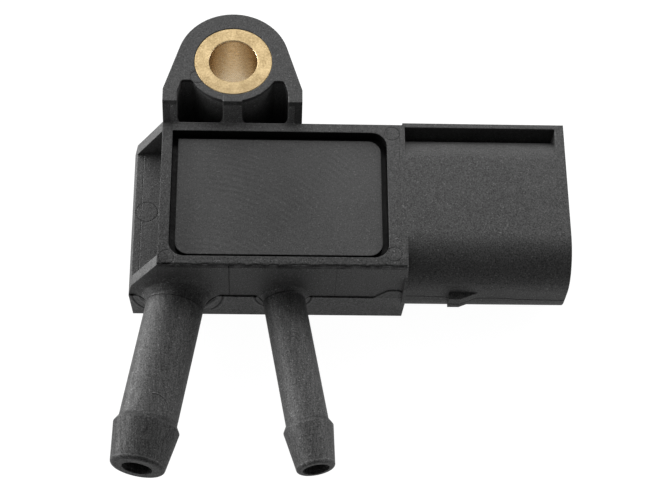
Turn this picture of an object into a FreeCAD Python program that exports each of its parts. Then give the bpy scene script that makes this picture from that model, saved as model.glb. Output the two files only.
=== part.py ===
import FreeCAD, Part
import math
import os
import Sketcher

# Differential pressure sensor for an exhaust particle filter.
# It lies on its flat back. X runs to the connector, Y to the mounting lug and Z up
# through the cover. The origin is on the axis of the bush, at the back mounting face.
# Lengths are millimetres and angles are degrees.

SIZES = [
    # brass bush and lug
    ("bush_diameter", 10.5, "outside of the brass bush"),
    ("bush_bore", 6.5, "clearance bore for an M6 bolt"),
    ("bush_length", 17.9, "height of the bush and of the lug"),
    ("bush_chamfer", 0.1, "chamfer on the rims of the bush"),
    ("insert_gap", 0.02, "gap between a moulded-in insert and the plastic"),
    ("lug_radius", 7.57, "round end of the lug"),
    ("lug_flare", 17.35, "angle of the lug's flanks"),
    ("lug_bend", 4.46, "bush axis to the end of the lug's flared flanks"),
    ("lug_shoulder", 6.35, "bush axis to the end of the lug's flat top"),
    ("boss_radius", 6.27, "boss round the bush"),
    ("web_thickness", 2.56, "rib between boss and block"),
    ("lug_wall", 1.9, "side walls of the lug"),
    ("pocket_reach", 3.05, "bush axis to the narrow end of the cored pockets"),
    ("pocket_floor", 3.0, "plastic left under the cored pockets"),
    ("pocket_round", 0.55, "corner radius in the cored pockets"),
    # block
    ("block_start", 7.72, "bush axis to the block, at the frame face"),
    ("block_depth", 21.4, "block from lug side to hose side"),
    ("block_left", 9.33, "bush axis to the block's left side"),
    ("block_right", 23.16, "bush axis to the block's right side"),
    ("frame_height", 14.7, "back face to frame face"),
    ("parting_height", 5.7, "back face to the mould parting plane"),
    ("side_lean", 0.36, "lean of the right side above the parting plane"),
    ("foot_lean", 0.25, "lean of both sides below the parting plane"),
    ("foot_step", 0.13, "foot band out of the hose-side wall"),
    ("foot_rise", 2.1, "rise of the foot band at its right end"),
    ("foot_rise_start", 4.0, "block's right side to the start of that rise"),
    ("foot_rise_run", 1.8, "length of the band's slope"),
    ("foot_rise_top", 1.4, "length of the band's raised part"),
    # wing
    ("wing_reach", 13.52, "bush axis to the wing's edge at the parting plane"),
    ("wing_inset", 0.48, "lean of the wing's edge up to its floor"),
    ("wing_floor", 8.3, "back face to the wing's floor"),
    ("gusset_thickness", 1.45, "gussets at both ends of the wing"),
    # cover seat
    ("border_left", 1.37, "frame border on the left"),
    ("border_right", 2.46, "frame border on the right"),
    ("border_lug", 1.28, "frame border on the lug side"),
    ("border_hose", 1.38, "frame border on the hose side"),
    ("seat_round", 2.0, "radius of three corners of the cover seat"),
    ("cover_sink", 1.0, "frame face down to the cover"),
    ("cover_thickness", 1.2, "cover plate"),
    ("cover_gap", 0.75, "groove round the cover plate"),
    ("cover_round", 1.8, "radius of three corners of the cover plate"),
    ("bead_height", 0.25, "sealing bead in the groove"),
    # electronics chamber
    ("ledge_width", 1.6, "ledge that carries the cover plate"),
    ("board_drop", 2.7, "underside of the cover down to the seat of the circuit board"),
    ("well_depth", 0.8, "seat of the circuit board down to the floor of the wells"),
    ("board_length", 11.6, "circuit board along X"),
    ("board_width", 15.0, "circuit board along Y"),
    ("board_thickness", 0.8, "circuit board"),
    ("board_gap", 0.2, "circuit board to the chamber walls"),
    ("board_margin", 1.2, "seat of the circuit board along its edges"),
    ("board_round", 0.8, "corner radius of the circuit board"),
    # hose nipples
    ("hose_spacing", 14.06, "nipple axes apart at the hose-side wall"),
    ("splay", 10.1, "angle of each nipple away from Y"),
    ("nipple_length", 24.78, "wall to tip along a nipple"),
    ("barb_start", 18.38, "wall to the foot of the barb"),
    ("barb_rise", 0.9, "length of the barb's steep flank"),
    ("large_tube", 7.66, "tube of the large nipple"),
    ("large_barb", 8.7, "barb of the large nipple"),
    ("large_tip", 7.24, "tip of the large nipple"),
    ("large_edge", 0.54, "edge round of the large tip"),
    ("large_bore", 4.0, "bore of the large nipple"),
    ("large_root", 3.0, "radius of the large nipple's flared root"),
    ("small_tube", 5.62, "tube of the small nipple"),
    ("small_barb", 6.58, "barb of the small nipple"),
    ("small_tip", 5.1, "tip of the small nipple"),
    ("small_edge", 0.41, "edge round of the small tip"),
    ("small_bore", 3.5, "bore of the small nipple"),
    ("small_root", 1.5, "radius of the small nipple's flared root"),
    ("root_bite", 0.05, "flared roots into the hose-side wall"),
    ("riser_spacing", 8.8, "risers into the sensor cell apart"),
    ("riser_bore", 2.2, "bore of a riser"),
    # sensor cell
    ("cell_length", 12.2, "sensor cell along X"),
    ("cell_width", 7.0, "sensor cell along Y"),
    ("cell_height", 2.5, "sensor cell along Z"),
    ("cell_wall", 0.7, "wall of the sensor cell"),
    ("cell_floor", 0.6, "floor of the sensor cell"),
    ("cell_round", 0.6, "corner radius of the sensor cell"),
    ("cell_lid_thickness", 0.3, "metal lid of the sensor cell"),
    ("cell_lid_gap", 0.05, "lid to the cell's rim"),
    ("cell_rim", 0.35, "rim outside the lid"),
    ("port_seal_diameter", 3.4, "seal rings under the cell"),
    ("port_seal_height", 0.5, "seal rings under the cell"),
    ("well_clearance", 0.15, "well walls to the cell"),
    ("pedestal_size", 2.0, "glass pedestal"),
    ("pedestal_height", 0.6, "glass pedestal"),
    ("pedestal_bore", 0.8, "hole through the pedestal"),
    ("die_size", 1.7, "silicon die"),
    ("die_height", 0.3, "silicon die"),
    ("membrane_size", 1.0, "thinned square in the die"),
    ("membrane_thickness", 0.05, "membrane of the die"),
    ("gel_margin", 0.25, "gel beyond the pedestal"),
    ("gel_gap", 0.1, "gel to the wall of the cell"),
    ("gel_cover", 0.15, "gel above the die"),
    ("cell_lead_pitch", 1.5, "leads of the cell apart"),
    ("cell_lead_width", 0.6, "leads of the cell"),
    ("cell_lead_thickness", 0.25, "leads of the cell"),
    ("cell_lead_overlap", 1.3, "leads over the circuit board"),
    # connector
    ("shroud_length", 21.5, "block to the mouth of the connector"),
    ("shroud_overhang", 0.62, "shroud past the hose-side wall"),
    ("fin_overhang", 0.3, "fin past the lug-side wall"),
    ("shroud_bite", 0.3, "shroud into the block's right side"),
    ("shroud_lift", 0.6, "back face up to the shroud"),
    ("shroud_round", 5.65, "large corner radius of the shroud"),
    ("shroud_wall", 1.5, "wall of the shroud"),
    ("fin_thickness", 0.65, "upright fin along the shroud"),
    ("groove_width", 4.7, "groove between fin and flat, at the top"),
    ("groove_depth", 4.4, "depth of that groove and round of its shoulder"),
    ("collar_thickness", 1.2, "collar that ends the groove at the mouth"),
    ("socket_depth", 18.6, "mouth to the floor of the socket"),
    ("socket_round", 4.1, "corner radius of the socket"),
    ("latch_offset", 5.75, "block to the latch ramp"),
    ("latch_crest", 1.5, "flat top of the latch ramp"),
    ("latch_length", 3.9, "whole latch ramp"),
    ("latch_height", 0.95, "latch ramp above the shroud"),
    ("latch_bottom", 6.1, "back face to the latch ramp"),
    ("latch_width", 2.5, "latch ramp along Z"),
    # contact blades
    ("blade_width", 1.6, "blades along Y"),
    ("blade_thickness", 0.8, "blades"),
    ("blade_pitch", 4.0, "blades apart"),
    ("blade_length", 12.5, "blades out of the socket floor"),
    ("blade_taper", 1.4, "tapered tip of a blade"),
    ("blade_step", 2.4, "chamber wall to the step of a blade"),
    ("blade_landing", 2.2, "blade over the circuit board"),
    # parts on the circuit board
    ("chip_size", 4.0, "signal chip"),
    ("chip_height", 0.9, "signal chip"),
    ("capacitor_length", 2.0, "chip capacitors"),
    ("capacitor_width", 1.25, "chip capacitors"),
    ("capacitor_height", 0.85, "chip capacitors"),
    ("resistor_length", 1.6, "chip resistors"),
    ("resistor_width", 0.8, "chip resistors"),
    ("resistor_height", 0.45, "chip resistors"),
    ("component_pitch", 2.2, "capacitors and resistors apart"),
    ("component_gap", 0.4, "capacitors and resistors to the blades"),
]
CELL_LEADS = 4
CAPACITORS = 4
RESISTORS = 2
CLOSE = 0.01  # two lengths in a finished shape that differ by less are the same


class Size:
    """A length or an angle: its value, and the sheet expression that gives it."""

    def __init__(self, value, text):
        self.value = value
        self.text = text

    def __add__(self, other):
        return joined(self, "+", other, lambda a, b: a + b)

    def __radd__(self, other):
        return joined(other, "+", self, lambda a, b: a + b)

    def __sub__(self, other):
        return joined(self, "-", other, lambda a, b: a - b)

    def __rsub__(self, other):
        return joined(other, "-", self, lambda a, b: a - b)

    def __mul__(self, other):
        return joined(self, "*", other, lambda a, b: a * b)

    def __rmul__(self, other):
        return joined(other, "*", self, lambda a, b: a * b)

    def __truediv__(self, other):
        return joined(self, "/", other, lambda a, b: a / b)

    def __neg__(self):
        return Size(-self.value, "(-1 * %s)" % self.text)


def sized(number):
    """A Size for a plain number; a Size stays as it is."""
    if isinstance(number, Size):
        return number
    return Size(float(number), "(%r)" % number)


def joined(first, sign, second, rule):
    a = sized(first)
    b = sized(second)
    return Size(rule(a.value, b.value), "(%s %s %s)" % (a.text, sign, b.text))


def sine(angle):
    return Size(math.sin(math.radians(angle.value)), "sin(%s * 1 deg)" % angle.text)


def cosine(angle):
    return Size(math.cos(math.radians(angle.value)), "cos(%s * 1 deg)" % angle.text)


def tangent(angle):
    return Size(math.tan(math.radians(angle.value)), "tan(%s * 1 deg)" % angle.text)


def root(square):
    return Size(math.sqrt(square.value), "sqrt(%s)" % square.text)


def make_sheet(doc):
    """Fills the spreadsheet and returns its sizes by name."""
    sheet = doc.addObject("Spreadsheet::Sheet", "Sizes")
    named = {}
    for row, (name, value, meaning) in enumerate(SIZES, start=1):
        sheet.set("A%d" % row, name)
        sheet.set("B%d" % row, str(value))
        sheet.set("C%d" % row, meaning)
        sheet.setAlias("B%d" % row, name)
        named[name] = Size(value, "Sizes." + name)
    doc.recompute()
    return named


doc = FreeCAD.newDocument("pressure_sensor")
size = make_sheet(doc)

# Places that more than one sub-part uses.
block_lug_y = -size["block_start"]
block_hose_y = block_lug_y - size["block_depth"]
lug_half = (size["lug_radius"] + size["lug_bend"] * sine(size["lug_flare"])) / cosine(size["lug_flare"])

seat_left = size["border_left"] - size["block_left"]
seat_right = size["block_right"] - size["border_right"]
seat_lug_y = block_lug_y - size["border_lug"]
seat_hose_y = block_hose_y + size["border_hose"]
seat_z = size["frame_height"] - size["cover_sink"] - size["cover_thickness"]
board_seat = seat_z - size["board_drop"]
well_floor = board_seat - size["well_depth"]

chamber_left = seat_left + size["ledge_width"]
chamber_right = seat_right - size["ledge_width"]
chamber_lug_y = seat_lug_y - size["ledge_width"]
chamber_hose_y = seat_hose_y + size["ledge_width"]

channel_length = (size["hose_spacing"] - size["riser_spacing"]) / (2 * sine(size["splay"]))
riser_y = block_hose_y + channel_length * cosine(size["splay"])

board_right = chamber_right - size["board_gap"]
board_left = board_right - size["board_length"]
board_hose_y = (chamber_lug_y + chamber_hose_y - size["board_width"]) / 2
board_top = board_seat + size["board_thickness"]

mouth_x = size["block_right"] + size["shroud_length"]
socket_x = mouth_x - size["socket_depth"]
shroud_hose_y = block_hose_y - size["shroud_overhang"]
fin_y = block_lug_y + size["fin_overhang"]
groove_y = fin_y - size["fin_thickness"]
groove_z = size["frame_height"] - size["groove_depth"]
shoulder_y = groove_y - size["groove_width"]
socket_top = size["frame_height"] - size["shroud_wall"]
socket_bottom = size["shroud_lift"] + size["shroud_wall"]
socket_lug_y = shoulder_y + size["groove_depth"] - size["shroud_wall"]
socket_hose_y = shroud_hose_y + size["shroud_wall"]
blade_z = (socket_top + socket_bottom) / 2
blade_row_y = (socket_lug_y + socket_hose_y) / 2
blade_end_x = board_right - size["blade_landing"]


def new_body(name):
    return doc.addObject("PartDesign::Body", name)


def new_sketch(body, name, role, offset=(0, 0, 0), turn=None):
    """A sketch on one of the body's own origin planes, moved by offset and turned in its plane."""
    sketch = body.newObject("Sketcher::SketchObject", name)
    plane = [item for item in body.Origin.OriginFeatures if item.Role == role][0]
    sketch.AttachmentSupport = [(plane, "")]
    sketch.MapMode = "FlatFace"
    for axis, place in zip("xyz", offset):
        sketch.setExpression("AttachmentOffset.Base." + axis, sized(place).text)
    if turn is not None:
        sketch.AttachmentOffset = FreeCAD.Placement(
            FreeCAD.Vector(), FreeCAD.Rotation(FreeCAD.Vector(0, 0, 1), turn.value))
        sketch.setExpression("AttachmentOffset.Rotation.Angle", turn.text)
    return sketch


def pin_point(sketch, geometry, end, point):
    """Fixes one end of a sketch element at a point of the sheet's sizes."""
    for kind, place in zip(("DistanceX", "DistanceY"), point):
        place = sized(place)
        index = sketch.addConstraint(
            Sketcher.Constraint(kind, -1, 1, geometry, end, place.value))
        sketch.setExpression("Constraints[%d]" % index, place.text)


def vector(point):
    return FreeCAD.Vector(sized(point[0]).value, sized(point[1]).value, 0)


def add_loop(sketch, pieces):
    """A closed loop. Each piece is a start point, or a start point, a centre, a radius and a turn:
    1 for an arc that runs counterclockwise to the next start point, -1 for one that runs clockwise."""
    first = sketch.GeometryCount
    count = len(pieces)
    for index, piece in enumerate(pieces):
        start = vector(piece[0])
        end = vector(pieces[(index + 1) % count][0])
        if len(piece) == 1:
            sketch.addGeometry(Part.LineSegment(start, end), False)
            continue
        centre = vector(piece[1])
        low, high = (start, end) if piece[3] > 0 else (end, start)
        low_angle = math.atan2(low.y - centre.y, low.x - centre.x)
        high_angle = math.atan2(high.y - centre.y, high.x - centre.x)
        if high_angle < low_angle:
            high_angle += 2 * math.pi
        circle = Part.Circle(centre, FreeCAD.Vector(0, 0, 1), sized(piece[2]).value)
        sketch.addGeometry(Part.ArcOfCircle(circle, low_angle, high_angle), False)
    for index, piece in enumerate(pieces):
        following = (index + 1) % count
        backwards = len(piece) > 1 and piece[3] < 0
        next_backwards = len(pieces[following]) > 1 and pieces[following][3] < 0
        sketch.addConstraint(Sketcher.Constraint(
            "Coincident", first + index, 1 if backwards else 2,
            first + following, 2 if next_backwards else 1))
    for index, piece in enumerate(pieces):
        backwards = len(piece) > 1 and piece[3] < 0
        pin_point(sketch, first + index, 2 if backwards else 1, piece[0])
        if len(piece) > 1:
            radius = sized(piece[2])
            number = sketch.addConstraint(
                Sketcher.Constraint("Radius", first + index, radius.value))
            sketch.setExpression("Constraints[%d]" % number, radius.text)


def add_polygon(sketch, points):
    add_loop(sketch, [(point,) for point in points])


def add_round_box(sketch, low, high, radii):
    """A rectangle from low to high. radii start at the low corner and run counterclockwise;
    None leaves a corner sharp."""
    corners = [(low[0], low[1]), (high[0], low[1]), (high[0], high[1]), (low[0], high[1])]
    arrive = [(0, -1), (1, 0), (0, 1), (-1, 0)]
    leave = [(1, 0), (0, 1), (-1, 0), (0, -1)]
    pieces = []
    for corner, radius, before, after in zip(corners, radii, arrive, leave):
        if radius is None:
            pieces.append((corner,))
            continue
        start = (corner[0] - radius * before[0], corner[1] - radius * before[1])
        end = (corner[0] + radius * after[0], corner[1] + radius * after[1])
        centre = (start[0] + radius * after[0], start[1] + radius * after[1])
        pieces.append((start, centre, radius, 1))
        pieces.append((end,))
    add_loop(sketch, pieces)


def add_circle(sketch, radius, centre=(0, 0)):
    circle = Part.Circle(vector(centre), FreeCAD.Vector(0, 0, 1), sized(radius).value)
    index = sketch.addGeometry(circle, False)
    pin_point(sketch, index, 3, centre)
    number = sketch.addConstraint(Sketcher.Constraint("Radius", index, sized(radius).value))
    sketch.setExpression("Constraints[%d]" % number, sized(radius).text)


def pad(body, sketch, name, length, back=False):
    feature = body.newObject("PartDesign::Pad", name)
    feature.Profile = sketch
    feature.setExpression("Length", sized(length).text)
    feature.Reversed = back
    return feature


def pocket(body, sketch, name, length, ahead=False):
    """Cuts against the sketch's normal, or along it where ahead is true."""
    doc.recompute()
    before = body.Shape.Volume
    feature = body.newObject("PartDesign::Pocket", name)
    feature.Profile = sketch
    feature.setExpression("Length", sized(length).text)
    feature.Reversed = ahead
    doc.recompute()
    if not body.Shape.Volume < before:
        raise RuntimeError(name + " cuts nothing")
    return feature


def revolve(body, sketch, name, cut=False):
    """Turns the sketch about its own vertical axis."""
    doc.recompute()
    before = body.Shape.Volume if cut else 0
    feature = body.newObject("PartDesign::" + ("Groove" if cut else "Revolution"), name)
    feature.Profile = sketch
    feature.ReferenceAxis = (sketch, ["V_Axis"])
    feature.Angle = 360
    doc.recompute()
    if cut and not body.Shape.Volume < before:
        raise RuntimeError(name + " cuts nothing")
    return feature


def round_edges(name, base, groups):
    """Rounds the base's edges. Each group is a radius and a rule that picks its edges."""
    doc.recompute()
    picked = []
    for radius, chosen in groups:
        numbers = [number + 1 for number, edge in enumerate(base.Shape.Edges) if chosen(edge)]
        if not numbers:
            raise RuntimeError("%s finds no edge for %s" % (name, radius.text))
        picked += [(number, radius.value, radius.value) for number in numbers]
    item = doc.addObject("Part::Fillet", name)
    item.Base = base
    item.Edges = picked
    return item


def place(item, corner):
    for axis, distance in zip("xyz", corner):
        item.setExpression("Placement.Base." + axis, sized(distance).text)


def block(name, corner, extent):
    """A box with its low corner at corner."""
    item = doc.addObject("Part::Box", name)
    for side, length in zip(("Length", "Width", "Height"), extent):
        item.setExpression(side, sized(length).text)
    place(item, corner)
    return item


def rod(name, centre, diameter, height):
    item = doc.addObject("Part::Cylinder", name)
    item.setExpression("Radius", (diameter / 2).text)
    item.setExpression("Height", sized(height).text)
    place(item, centre)
    return item


def cut_away(name, base, tool):
    item = doc.addObject("Part::Cut", name)
    item.Base = base
    item.Tool = tool
    return item


def bore_radius():
    return size["bush_diameter"] / 2 + size["insert_gap"]


def add_block(body):
    """The block, the wing and the slope of its gussets, in one profile along Y."""
    wing_x = -size["wing_reach"]
    right_x = size["block_right"] + size["side_lean"]
    parting = size["parting_height"]
    profile = new_sketch(body, "BlockProfile", "XZ_Plane", (0, 0, -block_lug_y))
    add_polygon(profile, [
        (wing_x + size["foot_lean"], 0),
        (right_x - size["foot_lean"], 0),
        (right_x, parting),
        (size["block_right"], size["frame_height"]),
        (-size["block_left"], size["frame_height"]),
        (wing_x + size["wing_inset"], size["wing_floor"]),
        (wing_x, parting)])
    pad(body, profile, "Block", size["block_depth"])


def add_foot_band(body):
    """The band below the parting plane, a little proud of the hose-side wall."""
    step = size["foot_step"]
    parting = size["parting_height"]
    rise_x = size["block_right"] - size["foot_rise_start"]
    raised_x = rise_x + size["foot_rise_run"]
    right_x = size["block_right"] + size["side_lean"]
    band = new_sketch(body, "FootBandOutline", "XZ_Plane", (0, 0, -step - block_hose_y))
    add_polygon(band, [
        (size["foot_lean"] - size["wing_reach"], 0),
        (right_x - size["foot_lean"], 0),
        (right_x, parting),
        (right_x, parting + size["foot_rise"] / 2),
        (raised_x + size["foot_rise_top"], parting + size["foot_rise"]),
        (raised_x, parting + size["foot_rise"]),
        (rise_x, parting),
        (-size["wing_reach"], parting)])
    pad(body, band, "FootBand", 2 * step)


def cut_wing(body):
    """Lowers the wing to its floor between the gussets."""
    outside = size["wing_reach"] + size["wing_inset"]
    gusset = size["gusset_thickness"]
    floor = new_sketch(body, "WingFloor", "XY_Plane", (0, 0, size["wing_floor"]))
    add_polygon(floor, [
        (-outside, block_hose_y + gusset), (-size["block_left"], block_hose_y + gusset),
        (-size["block_left"], block_lug_y - gusset), (-outside, block_lug_y - gusset)])
    pocket(body, floor, "WingCut", size["frame_height"], ahead=True)


def add_lug(body):
    """The lug with its round end, flared flanks and sloping foot."""
    radius = size["lug_radius"]
    flare = size["lug_flare"]
    touch = (radius * cosine(flare), radius * sine(flare))
    inside_y = block_lug_y - size["border_lug"]
    outline = new_sketch(body, "LugOutline", "XY_Plane")
    add_loop(outline, [
        ((-lug_half, inside_y),),
        ((lug_half, inside_y),),
        ((lug_half, -size["lug_bend"]),),
        (touch, (0, 0), radius, 1),
        ((-touch[0], touch[1]),),
        ((-lug_half, -size["lug_bend"]),)])
    pad(body, outline, "Lug", size["bush_length"])
    over = size["bush_length"] + size["cover_sink"]
    slope = new_sketch(body, "LugSlope", "YZ_Plane", (0, 0, -size["block_right"]))
    add_polygon(slope, [
        (-size["lug_shoulder"], over),
        (2 * block_lug_y, over),
        (2 * block_lug_y, size["frame_height"]),
        (block_lug_y, size["frame_height"]),
        (-size["lug_shoulder"], size["bush_length"])])
    pocket(body, slope, "LugFoot", 2 * size["block_right"], ahead=True)


def lug_pocket_points(side):
    """Corners of one cored pocket; side is 1 for the right one and -1 for the left one."""
    flare = size["lug_flare"]
    boss = size["boss_radius"]
    web = size["web_thickness"] / 2
    reach = size["pocket_reach"]
    inner = size["lug_radius"] - size["lug_wall"]
    outer_x = lug_half - size["lug_wall"]
    web_y = -root(boss * boss - web * web)
    boss_x = root(boss * boss - reach * reach)
    apex_x = (inner + reach * sine(flare)) / cosine(flare)
    bend_y = (inner - outer_x * cosine(flare)) / sine(flare)
    points = [(web, web_y), (web, block_lug_y), (outer_x, block_lug_y), (outer_x, bend_y),
              (apex_x, -reach), (boss_x, -reach)]
    return [(side * x, y) for x, y in points]


def cut_lug(body):
    """The bush hole, and a cored pocket on each side of the web."""
    hole = new_sketch(body, "BushHole", "XY_Plane", (0, 0, size["bush_length"]))
    add_circle(hole, bore_radius())
    pocket(body, hole, "BushCut", size["bush_length"])
    for side, name in ((1, "Right"), (-1, "Left")):
        outline = new_sketch(body, name + "Core", "XY_Plane", (0, 0, size["bush_length"]))
        corners = lug_pocket_points(side)
        pieces = [(corner,) for corner in corners]
        pieces[-1] = (corners[-1], (0, 0), size["boss_radius"], -side)
        add_loop(outline, pieces)
        pocket(body, outline, name + "CoreCut", size["bush_length"] - size["pocket_floor"])


def is_core_corner(edge):
    """Upright edges at both ends of the cored pockets."""
    box = edge.BoundBox
    upright = box.XLength < CLOSE and box.YLength < CLOSE and box.ZLength > CLOSE
    inside = abs(box.Center.x) < lug_half.value - size["lug_wall"].value / 2
    at_block = abs(box.Center.y - block_lug_y.value) < CLOSE
    at_tip = abs(box.Center.y + size["pocket_reach"].value) < CLOSE
    return upright and inside and (at_block or at_tip)


def add_shroud(body):
    """The connector shroud with its fin, groove and latch ramp."""
    start_x = size["block_right"] - size["shroud_bite"]
    rounding = size["shroud_round"]
    section = new_sketch(body, "ShroudSection", "YZ_Plane", (0, 0, start_x))
    add_round_box(section, (shroud_hose_y, size["shroud_lift"]), (fin_y, size["frame_height"]),
                  (rounding, rounding, None, rounding))
    pad(body, section, "Shroud", mouth_x - start_x)
    groove = new_sketch(body, "Groove", "YZ_Plane", (0, 0, size["block_right"]))
    shoulder_start = shoulder_y + size["groove_depth"]
    add_loop(groove, [
        ((groove_y, groove_z),),
        ((groove_y, size["frame_height"]),),
        ((shoulder_y, size["frame_height"]), (shoulder_y, groove_z), size["groove_depth"], -1),
        ((shoulder_start, groove_z),)])
    pocket(body, groove, "GrooveCut", size["shroud_length"] - size["collar_thickness"], ahead=True)
    ramp = new_sketch(body, "LatchOutline", "XY_Plane", (0, 0, size["latch_bottom"]))
    ramp_x = size["block_right"] + size["latch_offset"]
    crest_y = shroud_hose_y - size["latch_height"]
    inner_y = crest_y + 2 * size["latch_height"]
    add_polygon(ramp, [
        (ramp_x, inner_y), (ramp_x, crest_y), (ramp_x + size["latch_crest"], crest_y),
        (ramp_x + size["latch_length"], crest_y + size["latch_height"]),
        (ramp_x + size["latch_length"], inner_y)])
    pad(body, ramp, "LatchRamp", size["latch_width"])


def cut_socket(body):
    mouth = new_sketch(body, "SocketOutline", "YZ_Plane", (0, 0, mouth_x))
    rounding = size["socket_round"]
    shoulder = size["groove_depth"] - size["shroud_wall"]
    add_round_box(mouth, (socket_hose_y, socket_bottom), (socket_lug_y, socket_top),
                  (rounding, rounding, shoulder, rounding))
    pocket(body, mouth, "SocketCut", size["socket_depth"])


def blade_points(gap):
    """Side view of a contact blade, grown all round by gap."""
    half = size["blade_thickness"] / 2
    tip_x = socket_x + size["blade_length"]
    step_x = chamber_right + size["blade_step"]
    taper = size["blade_taper"]
    return [
        (blade_end_x - gap, board_top - gap),
        (step_x - gap, board_top - gap),
        (step_x - gap, blade_z - half - gap),
        (tip_x - taper, blade_z - half - gap),
        (tip_x + gap, blade_z - half / 2 - gap),
        (tip_x + gap, blade_z + half / 2 + gap),
        (tip_x - taper, blade_z + half + gap),
        (step_x + size["blade_thickness"] + gap, blade_z + half + gap),
        (step_x + size["blade_thickness"] + gap, board_top + size["blade_thickness"] + gap),
        (blade_end_x - gap, board_top + size["blade_thickness"] + gap)]


def blade_side_y(number):
    """Hose-side flank of a blade; number is -1, 0 or 1."""
    return blade_row_y + number * size["blade_pitch"] - size["blade_width"] / 2


def cut_blade_slots(body):
    gap = size["insert_gap"]
    for number, name in ((-1, "First"), (0, "Second"), (1, "Third")):
        slot = new_sketch(body, name + "Slot", "XZ_Plane", (0, 0, gap - blade_side_y(number)))
        add_polygon(slot, blade_points(gap))
        pocket(body, slot, name + "SlotCut", size["blade_width"] + 2 * gap)


def cut_chamber(body):
    """The stepped seat of the cover, the chamber under it and the wells in its floor."""
    round_corner = size["seat_round"]
    top = (0, 0, size["frame_height"])
    seat = new_sketch(body, "CoverSeat", "XY_Plane", top)
    add_round_box(seat, (seat_left, seat_hose_y), (seat_right, seat_lug_y),
                  (round_corner, round_corner, round_corner, None))
    pocket(body, seat, "SeatCut", size["cover_sink"] + size["cover_thickness"])
    chamber = new_sketch(body, "Chamber", "XY_Plane", top)
    inner_corner = size["board_round"]
    add_round_box(chamber, (chamber_left, chamber_hose_y), (chamber_right, chamber_lug_y),
                  (inner_corner,) * 4)
    pocket(body, chamber, "ChamberCut", size["frame_height"] - board_seat)
    well = new_sketch(body, "CellWell", "XY_Plane", top)
    half_length = size["cell_length"] / 2 + size["well_clearance"]
    half_width = size["cell_width"] / 2 + size["well_clearance"]
    add_polygon(well, [
        (-half_length, riser_y - half_width), (half_length, riser_y - half_width),
        (half_length, riser_y + half_width), (-half_length, riser_y + half_width)])
    pocket(body, well, "CellWellCut", size["frame_height"] - well_floor)
    under = new_sketch(body, "BoardWell", "XY_Plane", top)
    margin = size["board_margin"]
    board_lug_y = board_hose_y + size["board_width"]
    add_polygon(under, [
        (board_left + margin, board_hose_y + margin), (board_right - margin, board_hose_y + margin),
        (board_right - margin, board_lug_y - margin), (board_left + margin, board_lug_y - margin)])
    pocket(body, under, "BoardWellCut", size["frame_height"] - well_floor)


def nipple_frame(side):
    """Offset and turn of a sketch whose vertical axis runs out along a nipple."""
    offset = (side * size["hose_spacing"] / 2, block_hose_y, size["parting_height"])
    return offset, 180 + side * size["splay"]


def add_nipple(body, side, kind):
    """The tube and barb of one nipple, turned in one piece with the block."""
    tube = size[kind + "_tube"] / 2
    barb = size[kind + "_barb"] / 2
    tip = size[kind + "_tip"] / 2
    edge = size[kind + "_edge"]
    length = size["nipple_length"]
    start = size["barb_start"]
    offset, turn = nipple_frame(side)
    outline = new_sketch(body, kind.title() + "Nipple", "XY_Plane", offset, turn)
    add_loop(outline, [
        ((0, -tube),), ((tube, -tube),), ((tube, start),), ((barb, start + size["barb_rise"]),),
        ((tip, length - edge), (tip - edge, length - edge), edge, 1),
        ((tip - edge, length),), ((0, length),)])
    revolve(body, outline, kind.title() + "Tube")


def add_root(body, side, kind):
    """The root of a nipple, flared square to the wall, so that it sweeps furthest between the nipples."""
    flare = size[kind + "_root"]
    half_tube = size[kind + "_tube"] / (2 * cosine(size["splay"]))
    neck = half_tube - flare * tangent(size["splay"])
    bite = size["root_bite"]
    inside = -size["border_hose"] / 2
    offset, turn = nipple_frame(side)
    outline = new_sketch(body, kind.title() + "Root", "XY_Plane", offset, sized(180))
    add_loop(outline, [
        ((0, inside),), ((neck + flare, inside),),
        ((neck + flare, -bite), (neck + flare, flare - bite), flare, -1),
        ((neck, flare - bite),), ((0, flare - bite),)])
    revolve(body, outline, kind.title() + "Flare")


def cut_below(body):
    """Trims the flared roots level with the back face."""
    deep = size["large_tube"]
    below = new_sketch(body, "BackFace", "XY_Plane", (0, 0, 0))
    back_y = block_hose_y - size["large_root"]
    add_polygon(below, [
        (-size["wing_reach"], back_y), (size["block_right"], back_y),
        (size["block_right"], block_lug_y), (-size["wing_reach"], block_lug_y)])
    pocket(body, below, "BackFaceCut", deep)


def cut_channels(body):
    """The bore of each nipple, and the riser from its inner end into the chamber."""
    for side, kind in ((-1, "large"), (1, "small")):
        bore = size[kind + "_bore"] / 2
        inner_end = -channel_length - size["riser_bore"]
        offset, turn = nipple_frame(side)
        outline = new_sketch(body, kind.title() + "Channel", "XY_Plane", offset, turn)
        add_polygon(outline, [(0, inner_end), (bore, inner_end), (bore, size["nipple_length"]),
                              (0, size["nipple_length"])])
        revolve(body, outline, kind.title() + "ChannelCut", cut=True)
    risers = new_sketch(body, "Risers", "XY_Plane", (0, 0, size["frame_height"]))
    for side in (-1, 1):
        add_circle(risers, size["riser_bore"] / 2, (side * size["riser_spacing"] / 2, riser_y))
    pocket(body, risers, "RiserCut", size["frame_height"] - size["parting_height"])


def make_housing():
    """One moulding: block, wing, lug, nipples and connector shroud."""
    body = new_body("moulding")
    add_block(body)
    add_foot_band(body)
    for side, kind in ((-1, "large"), (1, "small")):
        add_nipple(body, side, kind)
        add_root(body, side, kind)
    cut_below(body)
    cut_wing(body)
    add_lug(body)
    add_shroud(body)
    cut_lug(body)
    cut_chamber(body)
    cut_socket(body)
    cut_blade_slots(body)
    cut_channels(body)
    return round_edges("housing", body, [(size["pocket_round"], is_core_corner)])


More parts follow.
